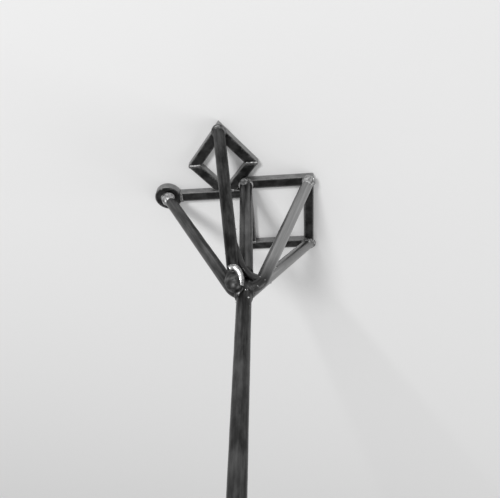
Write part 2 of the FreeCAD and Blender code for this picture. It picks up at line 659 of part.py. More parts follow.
BEAD_ACROSS = "Sizes.joint_bead_width / 2"
ALONG_BAR = f"{HALF} - Sizes.joint_bead_margin"
ALONG_SIDE = "Layout.side_cover - Sizes.joint_bead_margin"
ALONG_SEAT = "Layout.cut_half_width - Sizes.joint_bead_margin"
BOSS_EDGE = "Sizes.boss_diameter / 2 - Sizes.rail_length"
joint_beads = [
    joint_bead("box_bead", "0", f"{BOX_BOTTOM} + {HALF}", ALONG_BAR, BEAD_ACROSS),
    joint_bead("rail_box_bead", f"-{HALF}", "-Sizes.rail_drop", BEAD_ACROSS, ALONG_BAR),
    joint_bead("rail_boss_bead", BOSS_EDGE, "-Sizes.rail_drop", BEAD_ACROSS, ALONG_BAR),
    joint_bead("diamond_left_bead", f"{SEAT} - Layout.diamond_half_width", MIDDLE, ALONG_SIDE, BEAD_ACROSS),
    joint_bead("diamond_right_bead", f"{SEAT} + Layout.diamond_half_width", MIDDLE, ALONG_SIDE, BEAD_ACROSS),
    joint_bead("diamond_rail_bead", SEAT, "Layout.rail_top", ALONG_SEAT, BEAD_ACROSS),
]
joint_welds = keep(doc.addObject("Part::Compound", "joint_beads"), "joint_welds")
joint_welds.Links = joint_beads

doc.recompute()

# Checks, then one STEP file for each sub-part.
for item in doc.Objects:
    if "Invalid" in item.State or "Error" in item.State:
        raise RuntimeError(f"{item.Label}: {item.State}")
for part in parts:
    if part.Shape.isNull() or not part.Shape.isValid() or not part.Shape.Solids:
        raise RuntimeError(f"{part.Label}: its shape is not a valid solid")

os.makedirs("parts", exist_ok=True)
for part in parts:
    part.Shape.exportStep(os.path.join("parts", part.Label + ".step"))
    print(f"{part.Label}: {len(part.Shape.Solids)} solid(s), {part.Shape.Volume:.1f} mm3")
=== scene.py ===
import json
import math

import bmesh
import bpy
from mathutils import Matrix, Vector, noise

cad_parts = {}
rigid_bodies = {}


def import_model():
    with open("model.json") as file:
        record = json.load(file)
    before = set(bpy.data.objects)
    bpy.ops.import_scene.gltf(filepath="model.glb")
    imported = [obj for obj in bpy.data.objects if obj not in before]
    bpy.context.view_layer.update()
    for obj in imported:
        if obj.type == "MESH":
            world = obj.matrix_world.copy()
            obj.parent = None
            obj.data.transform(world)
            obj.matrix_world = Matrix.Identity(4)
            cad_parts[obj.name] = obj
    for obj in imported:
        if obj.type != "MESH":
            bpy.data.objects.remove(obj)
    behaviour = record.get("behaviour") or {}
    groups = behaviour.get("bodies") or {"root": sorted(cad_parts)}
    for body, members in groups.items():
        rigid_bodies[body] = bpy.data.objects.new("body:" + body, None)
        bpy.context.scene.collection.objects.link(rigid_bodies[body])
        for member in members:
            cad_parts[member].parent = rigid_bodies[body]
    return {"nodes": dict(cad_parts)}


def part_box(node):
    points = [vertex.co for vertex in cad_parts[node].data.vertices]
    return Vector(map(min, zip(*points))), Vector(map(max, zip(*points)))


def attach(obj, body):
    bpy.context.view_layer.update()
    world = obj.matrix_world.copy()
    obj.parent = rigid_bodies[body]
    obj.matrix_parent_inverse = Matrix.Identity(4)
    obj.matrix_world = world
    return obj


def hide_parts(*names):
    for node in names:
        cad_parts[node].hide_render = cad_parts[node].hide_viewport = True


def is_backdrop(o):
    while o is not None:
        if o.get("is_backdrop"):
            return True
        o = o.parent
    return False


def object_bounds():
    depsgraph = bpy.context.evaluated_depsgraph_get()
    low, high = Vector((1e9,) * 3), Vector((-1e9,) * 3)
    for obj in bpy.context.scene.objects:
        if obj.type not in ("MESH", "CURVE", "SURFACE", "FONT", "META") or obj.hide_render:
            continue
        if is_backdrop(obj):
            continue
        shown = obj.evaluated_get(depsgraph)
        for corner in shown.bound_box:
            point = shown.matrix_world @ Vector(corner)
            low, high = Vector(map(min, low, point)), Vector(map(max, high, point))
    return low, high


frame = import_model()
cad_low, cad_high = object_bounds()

MM = 0.001


# Shaft: a plain length of hot-rolled round bar, sawn off square. Its mill scale is dark and slightly
# shiny, and painted a little darker near its foot, as painted shade where the struts meet it.
SHAFT_RADIUS = 6.35 * MM
SHAFT_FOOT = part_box("shaft")[0].z
SHAFT_BRUSHED = 0.06
RING_ROD_RADIUS = 4.75 * MM
RING_RADIUS = 27 * MM
RING_CENTRE = cad_high.z - RING_RADIUS - RING_ROD_RADIUS
RING_BOTTOM = RING_CENTRE - RING_RADIUS
BAR_STEP = 2 * MM
BAR_SIDES = 40
BAR_UNEVENNESS = 0.35 * MM
BAR_WAVES_PER_METRE = 90.0
NO_SEAT = (-1.0, Vector((0, 0, 1)))


def grey(hex_colour):
    """A linear colour from sRGB hex."""
    channels = [int(hex_colour[i:i + 2], 16) / 255 for i in (0, 2, 4)]
    return [c / 12.92 if c <= 0.04045 else ((c + 0.055) / 1.055) ** 2.4 for c in channels] + [1]


def add_node(tree, kind, inputs=None, **settings):
    """Adds a node with its settings; inputs gives each socket a value or another node's output."""
    node = tree.nodes.new(kind)
    for name, value in settings.items():
        setattr(node, name, value)
    for key, value in (inputs or {}).items():
        if isinstance(value, bpy.types.NodeSocket):
            tree.links.new(value, node.inputs[key])
        else:
            node.inputs[key].default_value = value
    return node


def new_tree(name, sockets):
    """A Geometry Nodes tree with its geometry sockets and its named inputs, listed by their type."""
    tree = bpy.data.node_groups.new(name, "GeometryNodeTree")
    tree.interface.new_socket("Geometry", in_out="INPUT", socket_type="NodeSocketGeometry")
    tree.interface.new_socket("Geometry", in_out="OUTPUT", socket_type="NodeSocketGeometry")
    for kind, labels in sockets.items():
        for label in labels:
            tree.interface.new_socket(label, in_out="INPUT", socket_type=kind)
    return tree, tree.nodes.new("NodeGroupInput").outputs


def end_tree(tree, geometry, material):
    """Ends a tree with smooth, real geometry that carries its material."""
    smooth = add_node(tree, "GeometryNodeSetShadeSmooth", {"Geometry": geometry})
    real = add_node(tree, "GeometryNodeRealizeInstances", {"Geometry": smooth.outputs[0]})
    dressed = add_node(tree, "GeometryNodeSetMaterial", {"Geometry": real.outputs[0], "Material": material})
    out = tree.nodes.new("NodeGroupOutput")
    tree.links.new(dressed.outputs[0], out.inputs[0])


def start_curve(name, paths, cyclic=False):
    """A curve object along one or more lists of points."""
    curve = bpy.data.curves.new(name + "_line", "CURVE")
    curve.dimensions = "3D"
    for path in paths:
        spline = curve.splines.new("POLY")
        spline.points.add(len(path) - 1)
        for point, place in zip(spline.points, path):
            point.co = (*place, 1)
        spline.use_cyclic_u = cyclic
    line = bpy.data.objects.new(name + "_line", curve)
    bpy.context.scene.collection.objects.link(line)
    return line


def keep(name, mesh):
    """A mesh object in the scene."""
    mesh.name = name
    piece = bpy.data.objects.new(name, mesh)
    bpy.context.scene.collection.objects.link(piece)
    return piece


def settle(holder):
    """A plain mesh with the modifiers of an object in it; the object is removed."""
    depsgraph = bpy.context.evaluated_depsgraph_get()
    mesh = bpy.data.meshes.new_from_object(holder.evaluated_get(depsgraph), depsgraph=depsgraph)
    bpy.data.objects.remove(holder)
    return mesh


def grow(name, start, tree, values):
    """Runs a tree on an object, and keeps the result as a plain mesh object."""
    modifier = start.modifiers.new("grow", "NODES")
    modifier.node_group = tree
    for item in tree.interface.items_tree:
        if item.in_out == "INPUT" and item.name in values:
            modifier[item.identifier] = values[item.name]
    start.update_tag()
    return keep(name, settle(start))


def declare(piece, slot, *nodes):
    """Hangs a finished piece on the root body and hides the CAD nodes that it stands for. Its slot is not
    used.
    """
    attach(piece, "root")
    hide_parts(*nodes)


def steel(name):
    """A new metal material: its tree, its shader and the material."""
    material = bpy.data.materials.new(name)
    material.use_nodes = True
    tree = material.node_tree
    tree.nodes.clear()
    shader = add_node(tree, "ShaderNodeBsdfPrincipled", {"Metallic": 1.0})
    out = tree.nodes.new("ShaderNodeOutputMaterial")
    tree.links.new(shader.outputs[0], out.inputs[0])
    return material, tree, shader


# Hot-rolled round bar under its mill scale: a hard dark skin with a dull shine. Wire brushing and hands have
# thinned it in streaks of about 2.2 by 85 mm, and worn it in patches of 9 by 30 mm, which are duller. The
# grain is drawn at 0.5 by 1.6 mm, coarser than real, to show. Over the first 14 mm of each bar, at its joined
# end, the brushed part is painted dark, as painted shade where the bars meet.
STREAK_SIZE = (2.2 * MM, 85 * MM)
PATCH_SIZE = (9 * MM, 30 * MM)
GRAIN_SIZE = (0.5 * MM, 1.6 * MM)
# Painted shade: the run from each bar's joined end over which its brushed part is painted dark.
JOINT_SHADE_FULL = 14 * MM
JOINT_SHADE_END = 48 * MM
SCALE = grey("202020")
SCALE_THINNED = grey("363636")
BRUSHED_STEEL = grey("8a8a8a")
BRUSHED_STREAK = grey("b0b0b0")
WEAR_SHARE = 0.3
SHARE, FIRST_COLOUR, SECOND_COLOUR, MIXED_COLOUR = 0, 6, 7, 2

rolled_steel, tree, shader = steel("hot_rolled_round_bar_rubbed")
bar_place = add_node(tree, "ShaderNodeAttribute", attribute_name="bar_place").outputs["Vector"]
brushed = add_node(tree, "ShaderNodeAttribute", attribute_name="brushed").outputs["Fac"]
run = add_node(tree, "ShaderNodeSeparateXYZ", {0: bar_place}).outputs["Z"]
# Each row: a noise's size across and along the bar, and its settings.
noises = []
for (across, along), detail in (
    (STREAK_SIZE, {"Detail": 3.0, "Roughness": 0.55}),
    (PATCH_SIZE, {"Detail": 4.0, "Roughness": 0.6}),
    (GRAIN_SIZE, {"Detail": 2.0}),
):
    per_metre = (1 / across, 1 / across, 1 / along)
    stretched = add_node(tree, "ShaderNodeVectorMath", {0: bar_place, 1: per_metre}, operation="MULTIPLY")
    sockets = {"Vector": stretched.outputs[0], "Scale": 1.0, **detail}
    noises.append(add_node(tree, "ShaderNodeTexNoise", sockets).outputs[0])
streaks, patches, grain = noises

# Each row: a value, the low and the high that count, and what they become.
ranges = []
for value, low, high, new_low, new_high in (
    (run, JOINT_SHADE_FULL, JOINT_SHADE_END, 0.12, 1.0),
    (streaks, 0.42, 0.7, 0.0, 0.7),
    (patches, 0.4, 0.66, 0.0, 0.8),
    (patches, 0.3, 0.7, 0.27, 0.4),
):
    sockets = {"Value": value, "From Min": low, "From Max": high, "To Min": new_low, "To Max": new_high}
    ranges.append(add_node(tree, "ShaderNodeMapRange", sockets).outputs[0])
unshaded, rubbed, worn, dullness = ranges
# Painted shade at the joints: the brushed share is cut back near each bar's joined end.
brushed = add_node(tree, "ShaderNodeMath", {0: brushed, 1: unshaded}, operation="MULTIPLY")
mottle = add_node(tree, "ShaderNodeMath", {0: worn, 1: WEAR_SHARE}, operation="MULTIPLY")
bare_and_painted_light = add_node(
    tree, "ShaderNodeMath", {0: brushed.outputs[0], 1: mottle.outputs[0]}, operation="ADD", use_clamp=True
)
sockets = {SHARE: rubbed, FIRST_COLOUR: SCALE, SECOND_COLOUR: SCALE_THINNED}
dark = add_node(tree, "ShaderNodeMix", sockets, data_type="RGBA").outputs[MIXED_COLOUR]
sockets = {SHARE: rubbed, FIRST_COLOUR: BRUSHED_STEEL, SECOND_COLOUR: BRUSHED_STREAK}
light = add_node(tree, "ShaderNodeMix", sockets, data_type="RGBA").outputs[MIXED_COLOUR]
sockets = {SHARE: bare_and_painted_light.outputs[0], FIRST_COLOUR: dark, SECOND_COLOUR: light}
base = add_node(tree, "ShaderNodeMix", sockets, data_type="RGBA").outputs[MIXED_COLOUR]
tree.links.new(base, shader.inputs["Base Color"])
tree.links.new(dullness, shader.inputs["Roughness"])
relief = add_node(tree, "ShaderNodeMix", {"Factor": 0.3, "A": streaks, "B": grain}).outputs[0]
bump = add_node(tree, "ShaderNodeBump", {"Strength": 0.25, "Distance": 0.05 * MM, "Height": relief})
tree.links.new(bump.outputs[0], shader.inputs["Normal"])

# The tree that makes every round bar: a circle swept along a line, with the slight unevenness of rolled
# and hand-bent bar, and cut flat at a seat. bar_place is each point's place on the straightened bar.
bar_tree, given = new_tree(
    "round_bar_along_a_line",
    {
        "NodeSocketFloat": ["Bar radius", "Step", "Unevenness", "Seat height", "Seed", "Brushed"],
        "NodeSocketInt": ["Sides"],
        "NodeSocketVector": ["Seat direction"],
        "NodeSocketMaterial": ["Material"],
    },
)
sockets = {"Curve": given["Geometry"], "Length": given["Step"]}
line = add_node(bar_tree, "GeometryNodeResampleCurve", sockets, mode="LENGTH")
run = add_node(bar_tree, "GeometryNodeSplineParameter").outputs["Length"]
line = add_node(bar_tree, "GeometryNodeCaptureAttribute", {"Geometry": line.outputs[0]})
line.capture_items.new("FLOAT", "run")
bar_tree.links.new(run, line.inputs["run"])
round_sockets = {"Resolution": given["Sides"], "Radius": given["Bar radius"]}
rim = add_node(bar_tree, "GeometryNodeCurvePrimitiveCircle", round_sockets, mode="RADIUS")
rim = add_node(bar_tree, "GeometryNodeCaptureAttribute", {"Geometry": rim.outputs[0]})
rim.capture_items.new("VECTOR", "across")
bar_tree.links.new(add_node(bar_tree, "GeometryNodeInputPosition").outputs[0], rim.inputs["across"])
swept = add_node(
    bar_tree,
    "GeometryNodeCurveToMesh",
    {"Curve": line.outputs["Geometry"], "Profile Curve": rim.outputs["Geometry"], "Fill Caps": True},
)
along = add_node(bar_tree, "ShaderNodeCombineXYZ", {"Z": line.outputs["run"]})
place = add_node(
    bar_tree, "ShaderNodeVectorMath", {0: rim.outputs["across"], 1: along.outputs[0]}, operation="ADD"
)
marked = swept
for label, value, kind in (
    ("bar_place", place.outputs[0], "FLOAT_VECTOR"),
    ("brushed", given["Brushed"], "FLOAT"),
):
    sockets = {"Geometry": marked.outputs[0], "Name": label, "Value": value}
    marked = add_node(bar_tree, "GeometryNodeStoreNamedAttribute", sockets, data_type=kind, domain="POINT")
wave = add_node(
    bar_tree,
    "ShaderNodeTexNoise",
    {"Vector": place.outputs[0], "W": given["Seed"], "Scale": BAR_WAVES_PER_METRE, "Detail": 2.0},
    noise_dimensions="4D",
)
swing = add_node(bar_tree, "ShaderNodeMath", {0: wave.outputs[0], 1: 0.5}, operation="SUBTRACT")
swell = add_node(
    bar_tree, "ShaderNodeMath", {0: swing.outputs[0], 1: given["Unevenness"]}, operation="MULTIPLY"
)
normal = add_node(bar_tree, "GeometryNodeInputNormal").outputs[0]
shift = add_node(bar_tree, "ShaderNodeVectorMath", {0: normal, "Scale": swell.outputs[0]}, operation="SCALE")
uneven = add_node(
    bar_tree, "GeometryNodeSetPosition", {"Geometry": marked.outputs[0], "Offset": shift.outputs[0]}
)
position = add_node(bar_tree, "GeometryNodeInputPosition").outputs[0]
height = add_node(bar_tree, "ShaderNodeSeparateXYZ", {0: position}).outputs["Z"]
depth = add_node(bar_tree, "ShaderNodeMath", {0: given["Seat height"], 1: height}, operation="SUBTRACT")
below = add_node(bar_tree, "ShaderNodeMath", {0: depth.outputs[0], 1: 0.0}, operation="MAXIMUM")
sockets = {0: given["Seat direction"], "Scale": below.outputs[0]}
lift = add_node(bar_tree, "ShaderNodeVectorMath", sockets, operation="SCALE")
seated = add_node(
    bar_tree, "GeometryNodeSetPosition", {"Geometry": uneven.outputs[0], "Offset": lift.outputs[0]}
)
end_tree(bar_tree, seated.outputs[0], given["Material"])


def sweep_bar(name, path, radius, cyclic=False, seed=0.0, brushed=0.0, unevenness=0.0, seat=NO_SEAT):
    """A round bar along a path, cut flat at its seat."""
    values = {
        "Bar radius": radius,
        "Step": BAR_STEP,
        "Sides": BAR_SIDES,
        "Unevenness": unevenness,
        "Seat height": seat[0],
        "Seat direction": seat[1],
        "Seed": seed,
        "Brushed": brushed,
        "Material": rolled_steel,
    }
    return grow(name, start_curve(name, [path], cyclic), bar_tree, values)


def round_bar(name, path, radius, node, seed, brushed, cyclic=False, seat=NO_SEAT):
    """One round bar along a path, which stands for a node."""
    piece = sweep_bar(name, path, radius, cyclic, seed, brushed, BAR_UNEVENNESS, seat)
    declare(piece, "round_bar", node)


shaft_path = [Vector((0, 0, SHAFT_FOOT)), Vector((0, 0, RING_BOTTOM))]
round_bar("shaft_bar", shaft_path, SHAFT_RADIUS, "shaft", seed=1.0, brushed=SHAFT_BRUSHED)


# Hanging ring: lighter round bar bent to a ring round a former, closed with a weld and welded upright on
# the shaft's end. It hangs the iron on a nail.
RING_POINTS = 72
RING_BRUSHED = 0.4


def around(count):
    """The cosine and sine of evenly spaced turns of a full circle."""
    for i in range(count):
        turn = math.tau * i / count
        yield math.cos(turn), math.sin(turn)


ring_middle = Vector((0, 0, RING_CENTRE))
ring_path = [ring_middle + Vector((0, sine, -cosine)) * RING_RADIUS for cosine, sine in around(RING_POINTS)]
round_bar(
    "hanging_ring_bar",
    ring_path,
    RING_ROD_RADIUS,
    "hanging_ring",
    seed=2.0,
    brushed=RING_BRUSHED,
    cyclic=True,
)


# Struts: five pieces of round bar from the figure's back to the shaft's foot. Four are bent at the top,
# to turn in to the shaft, and the centre one is straight. All are sawn off flat on the figure.
STRUT_RADIUS = 5.75 * MM
BEND_RADIUS = 14 * MM
BEND_POINTS = 9
PLATE = 7.9 * MM
FIGURE_TURN = math.radians(4.5)
JUNCTION = Vector((-1.9, 9.8, 0)) * MM
BOX_WIDTH = 65 * MM
BOX_HEIGHT = 84 * MM
RAIL_LENGTH = 84 * MM
RAIL_DROP = 11.5 * MM
DIAMOND_SEAT = 21 * MM
DIAMOND_TOP = 62.5 * MM
CENTRE_OFFSET = 1 * MM
CENTRE_OVERRUN = 2 * MM
CENTRE_BRUSHED = 0.3


def on_figure(u, v, z=0.0):
    """A point of the figure's own axes, whose origin is the junction, in the iron's frame."""
    cos, sin = math.cos(FIGURE_TURN), math.sin(FIGURE_TURN)
    return JUNCTION + Vector((u * cos - v * sin, u * sin + v * cos, z))


def seat_of(downhill):
    """A cut level with the figure's back, for a bar that comes down this way."""
    return PLATE, downhill / downhill.z


# Each bent strut: its tip on the figure, its height at the shaft, the height at the shaft that its straight
# run aims for, how far it passes beside the shaft's axis, and how bright it is rubbed.
BENT_STRUTS = {
    "left": (on_figure(-RAIL_LENGTH, -RAIL_DROP), 154 * MM, 167.6 * MM, 0.0, 0.18),
    "top": (on_figure(-DIAMOND_SEAT, DIAMOND_TOP), 143 * MM, 168.5 * MM, 5.2 * MM, 0.0),
    "right": (on_figure(BOX_WIDTH, 0), 147 * MM, 182 * MM, -1.8 * MM, 1.0),
    "lower": (on_figure(BOX_WIDTH, -BOX_HEIGHT), 155 * MM, 159 * MM, -1.5 * MM, 0.75),
}
strut_lines = {}
for seed, (name, (tip, foot, aim, step, brushed)) in enumerate(BENT_STRUTS.items(), start=3):
    reach = math.sqrt(tip.length ** 2 - step ** 2)
    heading = math.atan2(tip.y, tip.x) - math.asin(step / tip.length)
    corner = reach * (aim - foot) / (aim - PLATE)
    slope = math.atan2(foot - PLATE, reach - corner)
    level = corner - BEND_RADIUS * math.tan(slope / 2)
    outwards = Vector((math.cos(heading), math.sin(heading), 0))
    sideways = Vector((-math.sin(heading), math.cos(heading), 0)) * step
    downhill = outwards * math.cos(slope) - Vector((0, 0, math.sin(slope)))
    path = [sideways + Vector((0, 0, foot))]
    for i in range(BEND_POINTS + 1):
        turn = slope * i / BEND_POINTS
        across = level + BEND_RADIUS * math.sin(turn)
        up = foot - BEND_RADIUS * (1 - math.cos(turn))
        path.append(sideways + outwards * across + Vector((0, 0, up)))
    path.append(sideways + outwards * reach + Vector((0, 0, PLATE)) + downhill * STRUT_RADIUS)
    strut_lines[name] = dict(
        tip=tip, foot=foot, step=step, path=path, out=outwards, downhill=downhill, radius=STRUT_RADIUS
    )
    bar_name, node_name = name + "_strut_bar", name + "_strut"
    round_bar(bar_name, path, STRUT_RADIUS, node_name, float(seed), brushed, seat=seat_of(downhill))

centre_tip = on_figure(0, 0, PLATE)
centre_top = Vector((CENTRE_OFFSET, 0, SHAFT_FOOT))
centre_down = (centre_tip - centre_top).normalized()
strut_lines["centre"] = dict(tip=on_figure(0, 0), downhill=centre_down, radius=SHAFT_RADIUS)
centre_path = [centre_top, centre_tip + centre_down * CENTRE_OVERRUN]
round_bar(
    "centre_strut_bar",
    centre_path,
    SHAFT_RADIUS,
    "centre_strut",
    seed=8.0,
    brushed=CENTRE_BRUSHED,
    seat=seat_of(centre_down),
)


# Tie: a short bent offcut of thinner bar in the crotch of the struts, from the top strut's side across
# to the right strut.
TIE_RADIUS = 3.2 * MM
TIE_BEND = 14 * MM
TIE_START_HEIGHT = 105 * MM
TIE_END_HEIGHT = 141 * MM
TIE_CORNER_HEIGHT = 141.5 * MM
TIE_GAP = 1 * MM
TIE_BRUSHED = 0.2


def strut_axis(name, height):
    """The point of a bent strut's straight run at a height."""
    strut = strut_lines[name]
    end = strut["path"][-1]
    return end + strut["downhill"] * ((height - end.z) / strut["downhill"].z)


tie_start = strut_axis("top", TIE_START_HEIGHT)
tie_end = strut_axis("right", TIE_END_HEIGHT)
tie_corner = Vector((0, SHAFT_RADIUS + TIE_RADIUS + TIE_GAP, TIE_CORNER_HEIGHT))
to_start = (tie_start - tie_corner).normalized()
to_end = (tie_end - tie_corner).normalized()
half_bend = to_start.angle(to_end) / 2
bend_in = tie_corner + to_start * (TIE_BEND / math.tan(half_bend))
bend_out = tie_corner + to_end * (TIE_BEND / math.tan(half_bend))
middle = tie_corner + (to_start + to_end).normalized() * (TIE_BEND / math.sin(half_bend))
tie_path = [tie_start]
for i in range(BEND_POINTS + 1):
    spoke = (bend_in - middle).slerp(bend_out - middle, i / BEND_POINTS)
    tie_path.append(middle + spoke.normalized() * TIE_BEND)
tie_path.append(tie_end)
round_bar("tie_bar", tie_path, TIE_RADIUS, "tie_rod", seed=9.0, brushed=TIE_BRUSHED)


# Figure: flat bars cut from plate and welded edge to edge, blackened by the fire. The box, the rail with
# its round boss and the diamond all lie in one plane. Sawn edges are broken with a file.
EDGE_BREAK = 0.55 * MM
EDGE_SEGMENTS = 3
SAME_POINT = 0.001 * MM
FLAT_ANGLE = math.radians(1)
SHARP_ANGLE = math.radians(25)
WORN_ANGLE = math.radians(12)
BAR_GRID = 2.2 * MM
FORGE_DENT = 0.12 * MM
DENT_SIZE = 7 * MM
SIDE_TILT = 0.5

# Flat bar blackened by fire: soot in patches of 9 mm over fine pitting of 1.1 mm, dull and rough. Its edges
# are worn to bare steel between the pits. Its sawn sides carry a painted highlight, a paler grey, less where
# the soot is thick.
SOOT_SIZE = 9 * MM
PIT_SIZE = 1.1 * MM
SOOT = grey("303030")
SOOT_THIN = grey("4c4c4c")
WORN_EDGE = grey("8c8c8c")
# Painted highlight: the pale grey laid on the sides of the bars, for the light that falls on them.
SIDE_HIGHLIGHT_GREY = grey("a0a0a0")

black_steel, tree, shader = steel("flat_bar_blackened_by_fire")
flat_place = add_node(tree, "ShaderNodeTexCoord").outputs["Object"]
sockets = {"Vector": flat_place, "Scale": 1 / SOOT_SIZE, "Detail": 4.0, "Roughness": 0.6}
soot = add_node(tree, "ShaderNodeTexNoise", sockets).outputs[0]
sockets = {"Vector": flat_place, "Scale": 1 / PIT_SIZE, "Detail": 3.0}
pitting = add_node(tree, "ShaderNodeTexNoise", sockets).outputs[0]

# Each row: a value, the low and the high that count, and what they become.
ranges = []
for value, low, high, new_low, new_high in (
    (soot, 0.4, 0.65, 0.0, 1.0),
    (pitting, 0.35, 0.6, 0.2, 1.0),
    (soot, 0.35, 0.65, 0.95, 0.6),
    (soot, 0.3, 0.7, 0.38, 0.55),
):
    sockets = {"Value": value, "From Min": low, "From Max": high, "To Min": new_low, "To Max": new_high}
    ranges.append(add_node(tree, "ShaderNodeMapRange", sockets).outputs[0])
thinned, unpitted, side_highlight_share, dullness = ranges
base = add_node(
    tree, "ShaderNodeMix", {SHARE: thinned, FIRST_COLOUR: SOOT, SECOND_COLOUR: SOOT_THIN}, data_type="RGBA"
)
# edge_wear is real wear to bare steel; the sides get a painted highlight, less where the soot is thick.
for attribute, cover, colour in (("edge_wear", unpitted, WORN_EDGE), ("side_highlight", side_highlight_share, SIDE_HIGHLIGHT_GREY)):
    marked = add_node(tree, "ShaderNodeAttribute", attribute_name=attribute).outputs["Fac"]
    bare_and_painted_light = add_node(tree, "ShaderNodeMath", {0: marked, 1: cover}, operation="MULTIPLY")
    sockets = {SHARE: bare_and_painted_light.outputs[0], FIRST_COLOUR: base.outputs[MIXED_COLOUR], SECOND_COLOUR: colour}
    base = add_node(tree, "ShaderNodeMix", sockets, data_type="RGBA")
tree.links.new(base.outputs[MIXED_COLOUR], shader.inputs["Base Color"])
tree.links.new(dullness, shader.inputs["Roughness"])
relief = add_node(tree, "ShaderNodeMix", {"Factor": 0.5, "A": soot, "B": pitting}).outputs[0]
bump = add_node(tree, "ShaderNodeBump", {"Strength": 0.7, "Distance": 0.15 * MM, "Height": relief})
tree.links.new(bump.outputs[0], shader.inputs["Normal"])

FIGURE_BARS = [
    "box_top_bar",
    "box_bottom_bar",
    "box_left_bar",
    "box_right_bar",
    "rail_bar",
    "end_boss",
    "diamond_upper_bar",
    "diamond_lower_bar",
]
GRID_AXES = [
    Vector((math.cos(FIGURE_TURN), math.sin(FIGURE_TURN), 0)),
    Vector((-math.sin(FIGURE_TURN), math.cos(FIGURE_TURN), 0)),
    Vector((0, 0, 1)),
]
for number, node_name in enumerate(FIGURE_BARS):
    shape = bmesh.new()
    shape.from_mesh(frame["nodes"][node_name].data)
    bmesh.ops.remove_doubles(shape, verts=shape.verts, dist=SAME_POINT)
    bmesh.ops.dissolve_limit(shape, angle_limit=FLAT_ANGLE, verts=shape.verts, edges=shape.edges)
    sharp = [e for e in shape.edges if len(e.link_faces) == 2 and e.calc_face_angle() > SHARP_ANGLE]
    bmesh.ops.bevel(
        shape,
        geom=sharp,
        offset=EDGE_BREAK,
        offset_type="OFFSET",
        segments=EDGE_SEGMENTS,
        profile=0.5,
        affect="EDGES",
    )
    wear = shape.verts.layers.float.new("edge_wear")
    for axis in GRID_AXES:
        spans = [v.co.dot(axis) for v in shape.verts]
        at = min(spans) + BAR_GRID
        while at < max(spans) - BAR_GRID / 2:
            geometry = shape.verts[:] + shape.edges[:] + shape.faces[:]
            bmesh.ops.bisect_plane(shape, geom=geometry, plane_co=axis * at, plane_no=axis)
            at += BAR_GRID
    for vertex in shape.verts:
        turns = [e.calc_face_angle(0.0) for e in vertex.link_edges]
        vertex[wear] = 1.0 if max(turns) > WORN_ANGLE else 0.0
        dent = noise.noise(vertex.co / DENT_SIZE + Vector((number, 0, 0)))
        vertex.co -= vertex.normal * FORGE_DENT * (0.5 + 0.5 * dent)
    # Faces that stand on edge are marked for the painted highlight.
    side = shape.faces.layers.float.new("side_highlight")
    for face in shape.faces:
        face.smooth = True
        face[side] = 1.0 if abs(face.normal.z) < SIDE_TILT else 0.0
    mesh = bpy.data.meshes.new(node_name)
    shape.to_mesh(mesh)
    shape.free()
    mesh.materials.append(black_steel)
    declare(keep(node_name + "_forged", mesh), "figure_bar", node_name)


# Welds: laid by hand with a stick electrode. A single bead is a raised run of overlapping ripples, rough
# and lumpy. Where several were laid over each other, they have run together in one smooth mass.
RIPPLE_SPACING = 1.25 * MM
RIPPLE_CURL = 0.6
RIPPLE_SHARPNESS = 0.6
BEAD_STEP = 0.3 * MM
BEAD_SIDES = 22
BEAD_LUMPS_PER_METRE = 260.0
BEAD_SINK = 0.6
RUN_LUMPINESS = 1.2 * MM
RUN_RIPPLE = 0.1 * MM

# Weld metal: brushed with wire, it is bright on the crests of its ripples, and dark and duller where scale
# stays between them. Unbrushed, it is dark all over. Specks of slag are drawn at 2.2 mm.
SLAG_SIZE = 2.2 * MM
WELD_SCALE = grey("3a3a3a")
WELD_BRIGHT = grey("dcdcdc")

weld_metal, tree, shader = steel("stick_weld_bead_brushed")
bead_place = add_node(tree, "ShaderNodeTexCoord").outputs["Object"]
crest = add_node(tree, "ShaderNodeAttribute", attribute_name="ripple").outputs["Fac"]
rubbed = add_node(tree, "ShaderNodeAttribute", attribute_name="brushed").outputs["Fac"]
sockets = {"Vector": bead_place, "Scale": 1 / SLAG_SIZE, "Detail": 3.0}
slag = add_node(tree, "ShaderNodeTexNoise", sockets).outputs[0]
sockets = {"Value": slag, "From Min": 0.38, "From Max": 0.6, "To Min": 0.25, "To Max": 1.0}
unslagged = add_node(tree, "ShaderNodeMapRange", sockets)
bright = add_node(tree, "ShaderNodeMath", {0: crest, 1: unslagged.outputs[0]}, operation="MULTIPLY")
clean = add_node(tree, "ShaderNodeMath", {0: bright.outputs[0], 1: rubbed}, operation="MULTIPLY")
sockets = {SHARE: clean.outputs[0], FIRST_COLOUR: WELD_SCALE, SECOND_COLOUR: WELD_BRIGHT}
base = add_node(tree, "ShaderNodeMix", sockets, data_type="RGBA")
tree.links.new(base.outputs[MIXED_COLOUR], shader.inputs["Base Color"])
sockets = {"Value": clean.outputs[0], "From Min": 0.0, "From Max": 0.8, "To Min": 0.5, "To Max": 0.24}
dullness = add_node(tree, "ShaderNodeMapRange", sockets)
tree.links.new(dullness.outputs[0], shader.inputs["Roughness"])
bump = add_node(tree, "ShaderNodeBump", {"Strength": 0.5, "Distance": 0.1 * MM, "Height": slag})
tree.links.new(bump.outputs[0], shader.inputs["Normal"])

